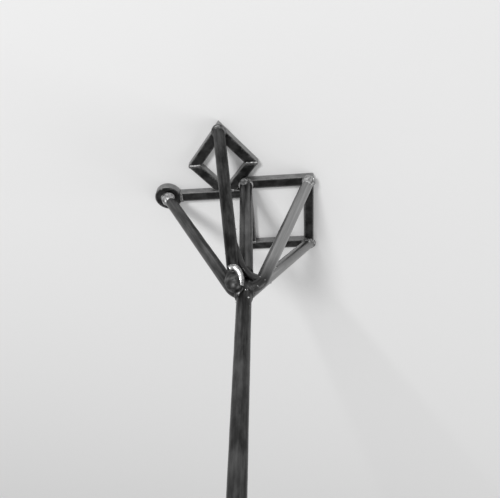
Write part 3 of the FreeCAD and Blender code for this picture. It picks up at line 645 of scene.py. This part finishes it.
# The tree that makes every bead: a circle swept along a seam. Its ripples lag at the sides, as they do
# behind a weld pool, and each rises slowly and falls off at once.
bead_tree, given = new_tree(
    "weld_bead_along_a_seam",
    {
        "NodeSocketFloat": ["Bead width", "Ripple spacing", "Ripple depth", "Lumpiness", "Brushed", "Seed"],
        "NodeSocketMaterial": ["Material"],
    },
)
seam = add_node(
    bead_tree, "GeometryNodeResampleCurve", {"Curve": given["Geometry"], "Length": BEAD_STEP}, mode="LENGTH"
)
run = add_node(bead_tree, "GeometryNodeSplineParameter")
seam = add_node(bead_tree, "GeometryNodeCaptureAttribute", {"Geometry": seam.outputs[0]})
seam.capture_items.new("FLOAT", "run")
bead_tree.links.new(run.outputs["Length"], seam.inputs["run"])
half = add_node(bead_tree, "ShaderNodeMath", {0: given["Bead width"], 1: 0.5}, operation="MULTIPLY")
round_sockets = {"Resolution": BEAD_SIDES, "Radius": half.outputs[0]}
rim = add_node(bead_tree, "GeometryNodeCurvePrimitiveCircle", round_sockets, mode="RADIUS")
rim = add_node(bead_tree, "GeometryNodeCaptureAttribute", {"Geometry": rim.outputs[0]})
rim.capture_items.new("VECTOR", "across")
position = add_node(bead_tree, "GeometryNodeInputPosition").outputs[0]
bead_tree.links.new(position, rim.inputs["across"])
swept = add_node(
    bead_tree,
    "GeometryNodeCurveToMesh",
    {"Curve": seam.outputs["Geometry"], "Profile Curve": rim.outputs["Geometry"], "Fill Caps": True},
)
aside = add_node(bead_tree, "ShaderNodeSeparateXYZ", {0: rim.outputs["across"]}).outputs["X"]

# How far a point is past the last ripple's edge, as a share of their spacing, worked out step by step.
value = aside
for operation, operand in (
    ("MULTIPLY", RIPPLE_CURL),
    ("ADD", seam.outputs["run"]),
    ("DIVIDE", given["Ripple spacing"]),
    ("FRACT", 0.0),
    ("POWER", RIPPLE_SHARPNESS),
):
    value = add_node(bead_tree, "ShaderNodeMath", {0: value, 1: operand}, operation=operation).outputs[0]
ripple = value
marked = swept
for label, value in (("ripple", ripple), ("brushed", given["Brushed"])):
    sockets = {"Geometry": marked.outputs[0], "Name": label, "Value": value}
    marked = add_node(
        bead_tree, "GeometryNodeStoreNamedAttribute", sockets, data_type="FLOAT", domain="POINT"
    )
lump = add_node(
    bead_tree,
    "ShaderNodeTexNoise",
    {"Vector": position, "W": given["Seed"], "Scale": BEAD_LUMPS_PER_METRE, "Detail": 1.0},
    noise_dimensions="4D",
)
heights = []
for source, top, size in (
    (lump.outputs[0], BEAD_SINK, given["Lumpiness"]),
    (ripple, 1.0, given["Ripple depth"]),
):
    swing = add_node(bead_tree, "ShaderNodeMath", {0: source, 1: top}, operation="SUBTRACT")
    swell = add_node(bead_tree, "ShaderNodeMath", {0: swing.outputs[0], 1: size}, operation="MULTIPLY")
    heights.append(swell.outputs[0])
total = add_node(bead_tree, "ShaderNodeMath", {0: heights[0], 1: heights[1]}, operation="ADD")
normal = add_node(bead_tree, "GeometryNodeInputNormal").outputs[0]
shift = add_node(bead_tree, "ShaderNodeVectorMath", {0: normal, "Scale": total.outputs[0]}, operation="SCALE")
rough = add_node(
    bead_tree, "GeometryNodeSetPosition", {"Geometry": marked.outputs[0], "Offset": shift.outputs[0]}
)
end_tree(bead_tree, rough.outputs[0], given["Material"])


def lay_bead(name, seams, width, seed, lumpiness=RUN_LUMPINESS, ripple=RUN_RIPPLE, cyclic=True, brushed=0.0):
    """Beads of weld along one or more seams, as smooth as those that run together unless told otherwise."""
    values = {
        "Bead width": width,
        "Ripple spacing": RIPPLE_SPACING,
        "Ripple depth": ripple,
        "Lumpiness": lumpiness,
        "Brushed": brushed,
        "Seed": seed,
        "Material": weld_metal,
    }
    return grow(name, start_curve(name, seams, cyclic), bead_tree, values)


# What runs together in one weld: beads, the ends of bars, and drops of metal. MELT_STEP is how finely they
# are joined. Swells of two sizes roughen the result, which sinks into the bars where it is plain bar.
MELT_STEP = 0.45 * MM
MELT_SINK = 0.1 * MM
MELT_SOFTNESS = 0.5
SWELL_SIZE = 4.5 * MM
SMALL_SWELL_SIZE = 2 * MM
SMALL_SWELL_SHARE = 0.25
NO_FLOOR = -1.0


def drop(place, half_width, half_length, along=Vector((0, 0, 1))):
    """A drop of weld metal, longer one way."""
    shape = bmesh.new()
    bmesh.ops.create_icosphere(shape, subdivisions=4, radius=1)
    turn = along.to_track_quat("Z", "Y")
    for vertex in shape.verts:
        vertex.co = place + turn @ (vertex.co * Vector((half_width, half_width, half_length)))
    mesh = bpy.data.meshes.new("drop")
    shape.to_mesh(mesh)
    shape.free()
    return bpy.data.objects.new("drop", mesh)


def join(name, objects):
    """One object with the meshes of several."""
    pool = bmesh.new()
    for source in objects:
        pool.from_mesh(source.data)
    mesh = bpy.data.meshes.new(name)
    pool.to_mesh(mesh)
    pool.free()
    return keep(name, mesh)


def melt(name, node, stock, rounds, roughness, rubbed, rub_swing, rub_size, floor=NO_FLOOR):
    """Runs the stock together in one smooth weld, brushed to a brightness that swings about rubbed."""
    holder = join(name, stock)
    for source in stock:
        bpy.data.objects.remove(source)
    remesh = holder.modifiers.new("run_together", "REMESH")
    remesh.mode = "VOXEL"
    remesh.voxel_size = MELT_STEP
    soften = holder.modifiers.new("set", "SMOOTH")
    soften.factor = MELT_SOFTNESS
    soften.iterations = rounds
    run = settle(holder)
    shape = bmesh.new()
    shape.from_mesh(run)
    bmesh.ops.recalc_face_normals(shape, faces=shape.faces)
    shape.normal_update()
    ripple = shape.verts.layers.float.new("ripple")
    brushed = shape.verts.layers.float.new("brushed")
    normals = [vertex.normal.copy() for vertex in shape.verts]
    for vertex, normal in zip(shape.verts, normals):
        place = vertex.co.copy()
        swell = noise.noise(place / SWELL_SIZE) + SMALL_SWELL_SHARE * noise.noise(place / SMALL_SWELL_SIZE)
        vertex.co = place + normal * (roughness * (swell - 0.5) - MELT_SINK)
        vertex.co.z = max(vertex.co.z, floor)
        vertex[ripple] = 1.0
        vertex[brushed] = max(0.0, rubbed + rub_swing * noise.noise(place / rub_size))
    for face in shape.faces:
        face.smooth = True
    shape.to_mesh(run)
    shape.free()
    run.materials.clear()
    run.materials.append(weld_metal)
    declare(keep(name, run), "weld_bead", node)


# Tip welds: metal run round each strut where it stands on the figure's back, and most of it brushed bright.
# At all tips but the top one a cap of it is piled over the strut's end.
ROUND_POINTS = 48
TIP_STUB = 14 * MM
TIP_BEAD_WIDTH = 4.6 * MM
TIP_SMOOTHING = 16
TIP_ROUGHNESS = 0.45 * MM
TIP_RUB_SHARE = 0.8
TIP_RUB_SWING = 0.5
TIP_RUB_SIZE = 3 * MM
TIP_FLOOR = PLATE - 0.4 * MM
TIP_BRUSHED = {"left": 1.0, "top": 0.25, "right": 0.95, "lower": 0.6, "centre": 0.9}
TIP_CAP = {"left": 7.6 * MM, "right": 6.7 * MM, "lower": 5.4 * MM, "centre": 4.4 * MM}
CAP_SHIFT = {"left": (0, 0.9, 0.6), "right": (0, 1.5, 0), "lower": (-2, 3, 0), "centre": (-1, 4.5, -3)}
CAP_THICKNESS = 3.2 * MM
CAP_SIDE = Vector((-0.15, 0.7, 0.7)).normalized()
CAP_RISE = 4 * MM
CAP_OUT = 3.7 * MM
CORE_SINK = 2.2 * MM
CORE_WIDTH_SHARE = 0.92
CORE_DEPTH_SHARE = 0.75
for seed, (name, strut) in enumerate(strut_lines.items(), start=21):
    downhill, radius = strut["downhill"], strut["radius"]
    foot = strut["tip"] + Vector((0, 0, PLATE))
    flat = Vector((downhill.x, downhill.y, 0)).normalized()
    aside = Vector((-flat.y, flat.x, 0))
    stretch = (1 - 1 / downhill.z) / 2
    seam = [foot + (flat * cosine * stretch + aside * sine) * radius for cosine, sine in around(ROUND_POINTS)]
    stock = [
        sweep_bar("stub", [foot - downhill * TIP_STUB, foot], radius),
        lay_bead("bead", [seam], TIP_BEAD_WIDTH, float(seed)),
    ]
    if name in TIP_CAP:
        cap = foot - downhill * CAP_RISE + CAP_SIDE * CAP_OUT + Vector(CAP_SHIFT[name]) * MM
        width = TIP_CAP[name]
        core = cap - CAP_SIDE * CORE_SINK
        stock.append(drop(cap, width, CAP_THICKNESS, CAP_SIDE))
        stock.append(drop(core, width * CORE_WIDTH_SHARE, width * CORE_DEPTH_SHARE, CAP_SIDE))
    melt(
        name + "_tip_run",
        name + "_tip_weld",
        stock,
        TIP_SMOOTHING,
        TIP_ROUGHNESS,
        rubbed=TIP_BRUSHED[name] * TIP_RUB_SHARE,
        rub_swing=TIP_BRUSHED[name] * TIP_RUB_SWING,
        rub_size=TIP_RUB_SIZE,
        floor=TIP_FLOOR,
    )

# Foot welds: metal run along the line where each strut's foot meets the shaft, all in one smooth dark mass,
# with a lump piled up over the top strut's foot. It stays as the arc left it.
FOOT_SMOOTHING = 46
FOOT_ROUGHNESS = 0.14 * MM
SHAFT_STUB = 40 * MM
CENTRE_STUB = 16 * MM
BEND_STUB = 8 * MM
FOOT_BEAD_WIDTH = 4.0 * MM
SHAFT_END_BEAD_WIDTH = 3.6 * MM
SHAFT_END_BEAD_RADIUS = 6 * MM
SHAFT_END_BEAD_X = 0.5 * MM
LUMP_PLACE = Vector((-8.5 * MM, 8.5 * MM, SHAFT_FOOT + 18 * MM))
LUMP_HALF_WIDTH = 8.2 * MM
LUMP_HALF_LENGTH = 12 * MM
shaft_end = Vector((0, 0, SHAFT_FOOT))
foot_stock = [
    sweep_bar("stub", [shaft_end, shaft_end + Vector((0, 0, SHAFT_STUB))], SHAFT_RADIUS),
    sweep_bar("stub", [centre_top, centre_top + centre_down * CENTRE_STUB], SHAFT_RADIUS),
]
for seed, name in enumerate(BENT_STRUTS, start=31):
    strut = strut_lines[name]
    side = Vector((-strut["out"].y, strut["out"].x, 0))
    seam = []
    for cosine, sine in around(ROUND_POINTS):
        across = strut["step"] + STRUT_RADIUS * cosine
        out = math.sqrt(max(0.0, SHAFT_RADIUS ** 2 - across ** 2))
        up = Vector((0, 0, strut["foot"] + STRUT_RADIUS * sine))
        seam.append(strut["out"] * out + side * across + up)
    foot_stock.append(lay_bead("bead", [seam], FOOT_BEAD_WIDTH, float(seed)))
    bend = strut["path"][:-1]
    foot_stock.append(sweep_bar("stub", bend + [bend[-1] + strut["downhill"] * BEND_STUB], STRUT_RADIUS))
middle = shaft_end + Vector((SHAFT_END_BEAD_X, 0, 0))
seam = [middle + Vector((cosine, sine, 0)) * SHAFT_END_BEAD_RADIUS for cosine, sine in around(ROUND_POINTS)]
foot_stock.append(lay_bead("bead", [seam], SHAFT_END_BEAD_WIDTH, seed=36.0))
foot_stock.append(drop(LUMP_PLACE, LUMP_HALF_WIDTH, LUMP_HALF_LENGTH))

# Last run: the weld's last bead, which goes over the lump in an arc. It is low and flat, and was brushed
# bright. Its body has run into the mass below it.
ARC_PLACE = LUMP_PLACE + Vector((-0.6, 4.6, 3.7)) * MM
ARC_HALF_WIDTH = 6.6 * MM
ARC_HALF_LENGTH = 10.5 * MM
ARC_FLATNESS = 0.35
ARC_POINTS = 25
ARC_START = 122
ARC_STEP = 6
ARC_WIDTH = 5.2 * MM
ARC_LUMPINESS = 1.4 * MM
ARC_RIPPLE = 0.15 * MM
ARC_BODY_WIDTH = 6.4 * MM
ARC_BODY_SINK = 2.6 * MM
arc_across = Vector((1, 0, 0.12)).normalized()
arc_along = Vector((0, 1, -1)).normalized()
arc_out = arc_across.cross(arc_along)
seam = []
for i in range(ARC_POINTS):
    turn = math.radians(ARC_START - ARC_STEP * i)
    aside = arc_across * math.cos(turn) * ARC_HALF_WIDTH
    seam.append(ARC_PLACE + aside + arc_along * math.sin(turn) * ARC_HALF_LENGTH)
body_seam = [point - arc_out * ARC_BODY_SINK for point in seam]
foot_stock.append(lay_bead("bead", [body_seam], ARC_BODY_WIDTH, seed=38.0, cyclic=False))
melt(
    "foot_run",
    "foot_weld",
    foot_stock,
    FOOT_SMOOTHING,
    FOOT_ROUGHNESS,
    rubbed=0.06,
    rub_swing=0.25,
    rub_size=5 * MM,
)
arc = lay_bead(
    "foot_last_run",
    [seam],
    ARC_WIDTH,
    seed=37.0,
    lumpiness=ARC_LUMPINESS,
    ripple=ARC_RIPPLE,
    cyclic=False,
    brushed=1.0,
)
declare(arc, "weld_bead", "foot_weld")
for vertex in arc.data.vertices:
    height = (vertex.co - ARC_PLACE).dot(arc_out)
    vertex.co -= arc_out * height * (1 - ARC_FLATNESS)

# Spatter: small bright drops thrown off by the arc, which froze on the bars about the foot weld and lie
# thickest near it.
SPATTER_CENTRE = Vector((0, 4 * MM, SHAFT_FOOT + 14 * MM))
SPATTER_REACH = 60 * MM
SPATTER_PER_SQUARE_METRE = 9000.0
SMALLEST_DROP = 0.3 * MM
LARGEST_DROP = 0.9 * MM
RANDOM_LOW, RANDOM_HIGH, RANDOM_SEED, RANDOM_FLOAT = 2, 3, 8, 1

spatter_tree, given = new_tree(
    "weld_spatter_on_bars",
    {
        "NodeSocketVector": ["Arc place"],
        "NodeSocketFloat": ["Reach", "Most per square metre", "Smallest drop", "Largest drop"],
        "NodeSocketInt": ["Seed"],
        "NodeSocketMaterial": ["Material"],
    },
)
position = add_node(spatter_tree, "GeometryNodeInputPosition").outputs[0]
away = add_node(
    spatter_tree, "ShaderNodeVectorMath", {0: position, 1: given["Arc place"]}, operation="DISTANCE"
)
crowd = add_node(
    spatter_tree,
    "ShaderNodeMapRange",
    {
        "Value": away.outputs["Value"],
        "From Min": 0.0,
        "From Max": given["Reach"],
        "To Min": given["Most per square metre"],
        "To Max": 0.0,
    },
)
drops = add_node(
    spatter_tree,
    "GeometryNodeDistributePointsOnFaces",
    {"Mesh": given["Geometry"], "Density": crowd.outputs[0], "Seed": given["Seed"]},
    distribute_method="RANDOM",
)
ball = add_node(spatter_tree, "GeometryNodeMeshIcoSphere", {"Radius": 1.0, "Subdivisions": 3})
drop_size = add_node(
    spatter_tree,
    "FunctionNodeRandomValue",
    {RANDOM_LOW: given["Smallest drop"], RANDOM_HIGH: given["Largest drop"], RANDOM_SEED: given["Seed"]},
    data_type="FLOAT",
)
placed = add_node(
    spatter_tree,
    "GeometryNodeInstanceOnPoints",
    {"Points": drops.outputs[0], "Instance": ball.outputs[0], "Scale": drop_size.outputs[RANDOM_FLOAT]},
)
real = add_node(spatter_tree, "GeometryNodeRealizeInstances", {"Geometry": placed.outputs[0]})
for label in ("ripple", "brushed"):
    sockets = {"Geometry": real.outputs[0], "Name": label, "Value": 1.0}
    real = add_node(
        spatter_tree, "GeometryNodeStoreNamedAttribute", sockets, data_type="FLOAT", domain="POINT"
    )
end_tree(spatter_tree, real.outputs[0], given["Material"])

struck_names = ("shaft_bar", "top_strut_bar", "right_strut_bar", "lower_strut_bar", "left_strut_bar")
spatter = grow(
    "foot_spatter",
    join("struck_bars", [bpy.data.objects[name] for name in struck_names]),
    spatter_tree,
    {
        "Arc place": SPATTER_CENTRE,
        "Reach": SPATTER_REACH,
        "Most per square metre": SPATTER_PER_SQUARE_METRE,
        "Smallest drop": SMALLEST_DROP,
        "Largest drop": LARGEST_DROP,
        "Seed": 4,
        "Material": weld_metal,
    },
)
declare(spatter, "weld_bead", "foot_weld")

# Ring weld: one run round the shaft's end, which is fitted to the ring like a saddle. Its ripples stand out
# and are brushed bright.
RING_BEAD_WIDTH = 3.6 * MM
BEAD_LUMPINESS = 1.6 * MM
BEAD_RIPPLE = 0.45 * MM
seam = []
for cosine, sine in around(ROUND_POINTS):
    x, y = SHAFT_RADIUS * cosine, SHAFT_RADIUS * sine
    out = RING_RADIUS + math.sqrt(max(0.0, RING_ROD_RADIUS ** 2 - x ** 2))
    seam.append(Vector((x, y, RING_CENTRE - math.sqrt(out ** 2 - y ** 2))))
ring_bead = lay_bead(
    "ring_bead",
    [seam],
    RING_BEAD_WIDTH,
    seed=41.0,
    lumpiness=BEAD_LUMPINESS,
    ripple=BEAD_RIPPLE,
    brushed=1.0,
)
declare(ring_bead, "weld_bead", "ring_weld")

# Joint welds: short runs over the butt joints of the figure, from side to side of the bar. They lie on its
# back alone, because its front has to be flat to brand.
BAR_HALF = 5.3 * MM
JOINT_WIDTH = 4.6 * MM
JOINT_LUMPINESS = 1.0 * MM
JOINT_SINK = 0.9 * MM
JOINT_PARTS = 8
JOINT_BRUSHED = 0.7
BOSS_EDGE = -70 * MM
DIAMOND_MIDDLE = 25.5 * MM
DIAMOND_INNER = 23 * MM
DIAMOND_OUTER = 35 * MM
SEAT_HALF = 8 * MM
joint_ends = [
    ((-BAR_HALF, BAR_HALF - BOX_HEIGHT), (BAR_HALF, BAR_HALF - BOX_HEIGHT)),
    ((-BAR_HALF, -RAIL_DROP - BAR_HALF), (-BAR_HALF, -RAIL_DROP + BAR_HALF)),
    ((BOSS_EDGE, -RAIL_DROP - BAR_HALF), (BOSS_EDGE, -RAIL_DROP + BAR_HALF)),
    ((-DIAMOND_SEAT - DIAMOND_OUTER, DIAMOND_MIDDLE), (-DIAMOND_SEAT - DIAMOND_INNER, DIAMOND_MIDDLE)),
    ((-DIAMOND_SEAT + DIAMOND_INNER, DIAMOND_MIDDLE), (-DIAMOND_SEAT + DIAMOND_OUTER, DIAMOND_MIDDLE)),
    ((-DIAMOND_SEAT - SEAT_HALF, BAR_HALF - RAIL_DROP), (-DIAMOND_SEAT + SEAT_HALF, BAR_HALF - RAIL_DROP)),
]
joint_seams = []
for start, end in joint_ends:
    start = on_figure(*start, PLATE - JOINT_SINK)
    end = on_figure(*end, PLATE - JOINT_SINK)
    joint_seams.append([start.lerp(end, i / JOINT_PARTS) for i in range(JOINT_PARTS + 1)])
joint_beads = lay_bead(
    "joint_beads",
    joint_seams,
    JOINT_WIDTH,
    seed=51.0,
    lumpiness=JOINT_LUMPINESS,
    ripple=BEAD_RIPPLE,
    cyclic=False,
    brushed=JOINT_BRUSHED,
)
declare(joint_beads, "weld_bead", "joint_welds")


# Studio: a plain pale floor that the iron stands on and a pale surround. A small key lamp shines from over
# the camera, a little to its left, and a large, weak lamp from the right fills the shadows.
FLOOR_REACH = 40.0
FLOOR_ROUGHNESS = 0.9
FLOOR_PAINT = grey("ececec")
SURROUND = grey("dcdcdc")
SURROUND_STRENGTH = 0.7
LAMP_AIM = Vector((0, 0, 60 * MM))

floor_mesh = bpy.data.meshes.new("floor")
corners = [(x * FLOOR_REACH, y * FLOOR_REACH, 0) for x, y in ((-1, -1), (1, -1), (1, 1), (-1, 1))]
floor_mesh.from_pydata(corners, [], [(0, 1, 2, 3)])
keep("floor", floor_mesh)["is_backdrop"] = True
floor_paint = bpy.data.materials.new("pale_matt_floor_paint")
floor_paint.use_nodes = True
paint = floor_paint.node_tree.nodes["Principled BSDF"]
paint.inputs["Base Color"].default_value = FLOOR_PAINT
paint.inputs["Roughness"].default_value = FLOOR_ROUGHNESS
floor_mesh.materials.append(floor_paint)

world = bpy.data.worlds.new("studio")
bpy.context.scene.world = world
world.use_nodes = True
world.node_tree.nodes["Background"].inputs["Color"].default_value = SURROUND
world.node_tree.nodes["Background"].inputs["Strength"].default_value = SURROUND_STRENGTH


def lamp(name, direction, distance, size, power):
    """A square lamp that looks at the iron."""
    light = bpy.data.lights.new(name, "AREA")
    light.size = size
    light.energy = power
    holder = bpy.data.objects.new(name, light)
    holder.location = LAMP_AIM + Vector(direction).normalized() * distance
    holder.rotation_mode = "QUATERNION"
    holder.rotation_quaternion = (LAMP_AIM - holder.location).to_track_quat("-Z", "Y")
    bpy.context.scene.collection.objects.link(holder)


lamp("key_lamp", direction=(-0.36, 0.7, 0.7), distance=2.2, size=0.42, power=27)
lamp("side_lamp", direction=(1, -0.25, 0.6), distance=1.8, size=1.0, power=6)

# Camera: it stands beside the shaft and looks down on the figure's back.
CAMERA_PLACE = Vector((10.2, 309.8, 452.6)) * MM
CAMERA_RIGHT = Vector((0.9998, 0, -0.0177))
CAMERA_UP = Vector((-0.0117, 0.7531, -0.6578))
CAMERA_BACK = Vector((0.0134, 0.6579, 0.753))
SENSOR_WIDTH = 36
FOCAL_LENGTH = 36.864
NEAREST_SHOWN = 5 * MM

camera_data = bpy.data.cameras.new("camera")
camera_data.sensor_width = SENSOR_WIDTH
camera_data.lens = FOCAL_LENGTH
camera_data.clip_start = NEAREST_SHOWN
camera = bpy.data.objects.new("camera", camera_data)
turned = Matrix((CAMERA_RIGHT, CAMERA_UP, CAMERA_BACK)).transposed().to_4x4()
camera.matrix_world = Matrix.Translation(CAMERA_PLACE) @ turned
bpy.context.scene.collection.objects.link(camera)
bpy.context.scene.camera = camera
bpy.context.scene.view_settings.view_transform = "Standard"

low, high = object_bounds()
